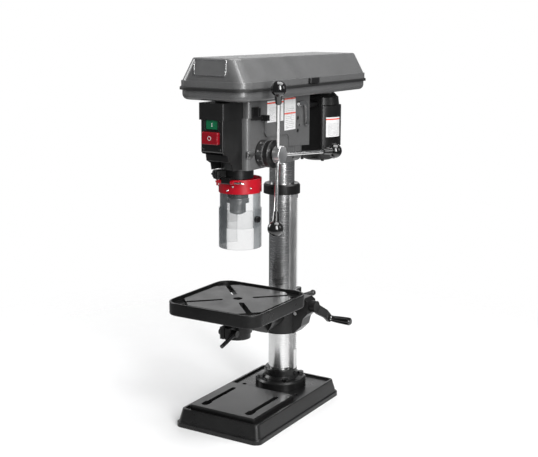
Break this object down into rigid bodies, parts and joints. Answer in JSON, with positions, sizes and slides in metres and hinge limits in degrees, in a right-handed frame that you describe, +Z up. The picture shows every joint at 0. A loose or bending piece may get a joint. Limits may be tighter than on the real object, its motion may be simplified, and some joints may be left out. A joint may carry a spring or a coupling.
{
  "type": "drill_press",
  "caption": "Benchtop drill press with round column, tilting and lifting square table, belt drive under a hinged guard, feed handles and a clear chuck guard.",
  "frame": {"origin": "on the column axis, at the underside of the base", "axes": "+Z up along the column, -Y towards the operator, +X towards the feed handles and the table crank"},
  "size_m": [0.349, 0.701, 1.017],
  "materials": {
    "cast_black": "satin",
    "grey_paint": "satin",
    "ground_steel": "satin",
    "chrome": "gloss",
    "machined_steel": "satin",
    "black_fasteners": "satin",
    "pulley_alloy": "satin",
    "black_plastic": "matte",
    "gloss_black": "gloss",
    "rubber": "matte",
    "motor_paint": "satin",
    "red_plastic": "gloss",
    "green_plastic": "gloss",
    "clear_plastic": "gloss"
  },
  "bodies": {
    "frame": {"base": "cast_black", "column_flange": "cast_black", "flange_bolts": "black_fasteners", "column": "ground_steel", "rack_collar": "cast_black", "set_screws": "black_fasteners", "head_casting": "grey_paint", "switch_housing": "black_plastic", "guard_pan": "grey_paint", "guard_seal": "rubber", "cover_hinge": "black_fasteners", "spring_cap": "black_plastic", "return_spring": "machined_steel", "key_clip": "black_plastic", "pulley_bearings": "machined_steel", "drive_belts": "rubber"},
    "rack": {"rack": "ground_steel"},
    "bracket": {"table_bracket": "cast_black", "tilt_bolt": "black_fasteners"},
    "crank": {"lift_worm": "machined_steel", "crank_arm": "cast_black"},
    "crank_grip": {"crank_grip": "gloss_black"},
    "lift_gear": {"lift_gear": "machined_steel"},
    "column_lock": {"column_lock": "black_fasteners"},
    "table_arm": {"table_arm": "cast_black"},
    "table_lock": {"table_lock": "black_fasteners"},
    "table": {"table": "cast_black"},
    "quill": {"quill": "ground_steel", "quill_bearings": "machined_steel", "guard_clamp": "cast_black", "shield_pin": "machined_steel"},
    "clamp_screw": {"clamp_screw": "gloss_black"},
    "shield": {"guard_bracket": "red_plastic", "upper_shield": "clear_plastic"},
    "lower_shield": {"lower_shield": "clear_plastic"},
    "shield_knob": {"shield_knob": "gloss_black"},
    "spindle": {"spindle_shaft": "machined_steel", "chuck_body": "machined_steel"},
    "chuck_sleeve": {"chuck_sleeve": "machined_steel"},
    "jaw_front": {"chuck_jaw_front": "machined_steel"},
    "jaw_left": {"chuck_jaw_left": "machined_steel"},
    "jaw_right": {"chuck_jaw_right": "machined_steel"},
    "spindle_pulley": {"spindle_pulley": "pulley_alloy"},
    "idler_arm": {"idler_arm": "cast_black"},
    "idler_pulley": {"idler_pulley": "pulley_alloy"},
    "motor_carriage": {"motor": "motor_paint", "motor_plate": "motor_paint", "slide_bars": "ground_steel"},
    "motor_pulley": {"motor_pulley": "pulley_alloy"},
    "tension_lever": {"tension_lever": "chrome"},
    "cover": {"guard_cover": "grey_paint", "cover_latch": "black_plastic", "name_plate": "pulley_alloy"},
    "start_button": {"start_button": "green_plastic"},
    "stop_button": {"stop_button": "red_plastic"},
    "feed_hub": {"feed_shaft": "machined_steel", "feed_hub": "chrome", "feed_arms": "chrome", "arm_knobs": "gloss_black"},
    "depth_dial": {"depth_dial": "black_plastic"}
  },
  "joints": [
    {"name": "table_swing", "type": "hinge", "parent": "frame", "child": "rack", "pos_m": [0, 0, 0.3], "axis": [0, 0, 1], "range_deg": [-180, 180]},
    {"name": "table_lift", "type": "slide", "parent": "rack", "child": "bracket", "axis": [0, 0, -1], "range_m": [-0.11, 0.1]},
    {"name": "crank_turn", "type": "hinge", "parent": "bracket", "child": "crank", "pos_m": [0, 0, 0.297], "axis": [1, 0, 0], "range_deg": [-6330, 5760]},
    {"name": "crank_grip_spin", "type": "hinge", "parent": "crank", "child": "crank_grip", "pos_m": [0.15, 0.054, 0.252], "axis": [1, 0, 0], "continuous": true},
    {"name": "lift_gear_turn", "type": "hinge", "parent": "bracket", "child": "lift_gear", "pos_m": [0.0617, 0, 0.2738], "axis": [0, 1, 0], "range_deg": [-460, 420]},
    {"name": "column_lock_turn", "type": "hinge", "parent": "bracket", "child": "column_lock", "pos_m": [0, 0.07, 0.3], "axis": [1, 0, 0], "range_deg": [-30, 30]},
    {"name": "table_tilt", "type": "hinge", "parent": "bracket", "child": "table_arm", "pos_m": [0, -0.1, 0.27], "axis": [0, 1, 0], "range_deg": [-45, 45]},
    {"name": "table_turn", "type": "hinge", "parent": "table_arm", "child": "table", "pos_m": [0, -0.23, 0.3], "axis": [0, 0, 1], "continuous": true},
    {"name": "table_lock_turn", "type": "hinge", "parent": "table_arm", "child": "table_lock", "pos_m": [0, -0.281, 0.276], "axis": [1, 0, 0], "range_deg": [-20, 60]},
    {"name": "quill_feed", "type": "slide", "parent": "frame", "child": "quill", "axis": [0, 0, -1], "range_m": [0, 0.08], "stiffness_N_per_m": 350, "springref_m": -0.16},
    {"name": "feed_turn", "type": "hinge", "parent": "frame", "child": "feed_hub", "pos_m": [0, -0.193, 0.761], "axis": [1, 0, 0], "range_deg": [0, 354]},
    {"name": "depth_dial_turn", "type": "hinge", "parent": "frame", "child": "depth_dial", "pos_m": [0, -0.193, 0.761], "axis": [1, 0, 0], "range_deg": [-180, 180]},
    {"name": "clamp_screw_turn", "type": "hinge", "parent": "quill", "child": "clamp_screw", "pos_m": [-0.0302, -0.27834, 0.7055], "axis": [-0.848, 0.5299, 0], "range_deg": [-45, 45]},
    {"name": "shield_flip", "type": "hinge", "parent": "quill", "child": "shield", "pos_m": [0, -0.284, 0.689], "axis": [1, 0, 0], "range_deg": [-90, 0]},
    {"name": "shield_height", "type": "slide", "parent": "shield", "child": "lower_shield", "axis": [0, 0, 1], "range_m": [-0.015, 0.04]},
    {"name": "shield_knob_turn", "type": "hinge", "parent": "lower_shield", "child": "shield_knob", "pos_m": [0.04951, -0.22496, 0.586], "axis": [0.9903, -0.1392, 0], "range_deg": [-90, 90]},
    {"name": "spindle_turn", "type": "hinge", "parent": "quill", "child": "spindle", "pos_m": [0, -0.23, 0.7], "axis": [0, 0, 1], "continuous": true},
    {"name": "chuck_sleeve_turn", "type": "hinge", "parent": "spindle", "child": "chuck_sleeve", "pos_m": [0, -0.23, 0.62], "axis": [0, 0, 1], "range_deg": [0, 2700]},
    {"name": "jaw_front_slide", "type": "slide", "parent": "spindle", "child": "jaw_front", "axis": [0, -0.2924, 0.9563], "range_m": [0, 0.024]},
    {"name": "jaw_left_slide", "type": "slide", "parent": "spindle", "child": "jaw_left", "axis": [-0.2532, 0.1462, 0.9563], "range_m": [0, 0.024]},
    {"name": "jaw_right_slide", "type": "slide", "parent": "spindle", "child": "jaw_right", "axis": [0.2532, 0.1462, 0.9563], "range_m": [0, 0.024]},
    {"name": "spindle_pulley_turn", "type": "hinge", "parent": "frame", "child": "spindle_pulley", "pos_m": [0, -0.23, 0.94], "axis": [0, 0, 1], "continuous": true},
    {"name": "idler_swing", "type": "hinge", "parent": "frame", "child": "idler_arm", "pos_m": [0, 0.046, 0.915], "axis": [0, 0, 1], "range_deg": [-3, 3], "deforming": ["drive_belts"]},
    {"name": "idler_turn", "type": "hinge", "parent": "idler_arm", "child": "idler_pulley", "pos_m": [0, 0, 0.94], "axis": [0, 0, 1], "continuous": true},
    {"name": "motor_slide", "type": "slide", "parent": "frame", "child": "motor_carriage", "axis": [0, 1, 0], "range_m": [0, 0.006], "deforming": ["drive_belts"]},
    {"name": "motor_pulley_turn", "type": "hinge", "parent": "motor_carriage", "child": "motor_pulley", "pos_m": [0, 0.212, 0.94], "axis": [0, 0, 1], "continuous": true},
    {"name": "tension_lever_turn", "type": "hinge", "parent": "frame", "child": "tension_lever", "pos_m": [0.063, -0.013, 0.881], "axis": [1, 0, 0], "range_deg": [-2, 41]},
    {"name": "cover_open", "type": "hinge", "parent": "frame", "child": "cover", "pos_m": [-0.1175, 0, 0.945], "axis": [0, -1, 0], "range_deg": [0, 95]},
    {"name": "start_press", "type": "slide", "parent": "frame", "child": "start_button", "axis": [0, 1, 0], "range_m": [0, 0.003], "stiffness_N_per_m": 900, "springref_m": -0.0015},
    {"name": "stop_press", "type": "slide", "parent": "frame", "child": "stop_button", "axis": [0, 1, 0], "range_m": [0, 0.004], "stiffness_N_per_m": 900, "springref_m": -0.0015}
  ],
  "couplings": [
    {"joint": "crank_turn", "follows": "table_lift", "rad_per_m": 1000},
    {"joint": "lift_gear_turn", "follows": "table_lift", "rad_per_m": 71.429},
    {"joint": "feed_turn", "follows": "quill_feed", "rad_per_m": 76.923},
    {"joint": "spindle_pulley_turn", "follows": "spindle_turn", "ratio": 1},
    {"joint": "idler_turn", "follows": "spindle_turn", "ratio": 2.2778},
    {"joint": "motor_pulley_turn", "follows": "spindle_turn", "ratio": 5.369},
    {"joint": "tension_lever_turn", "follows": "motor_slide", "rad_per_m": 116.36},
    {"joint": "jaw_front_slide", "follows": "chuck_sleeve_turn", "m_per_rad": 0.0005093},
    {"joint": "jaw_left_slide", "follows": "chuck_sleeve_turn", "m_per_rad": 0.0005093},
    {"joint": "jaw_right_slide", "follows": "chuck_sleeve_turn", "m_per_rad": 0.0005093}
  ]
}
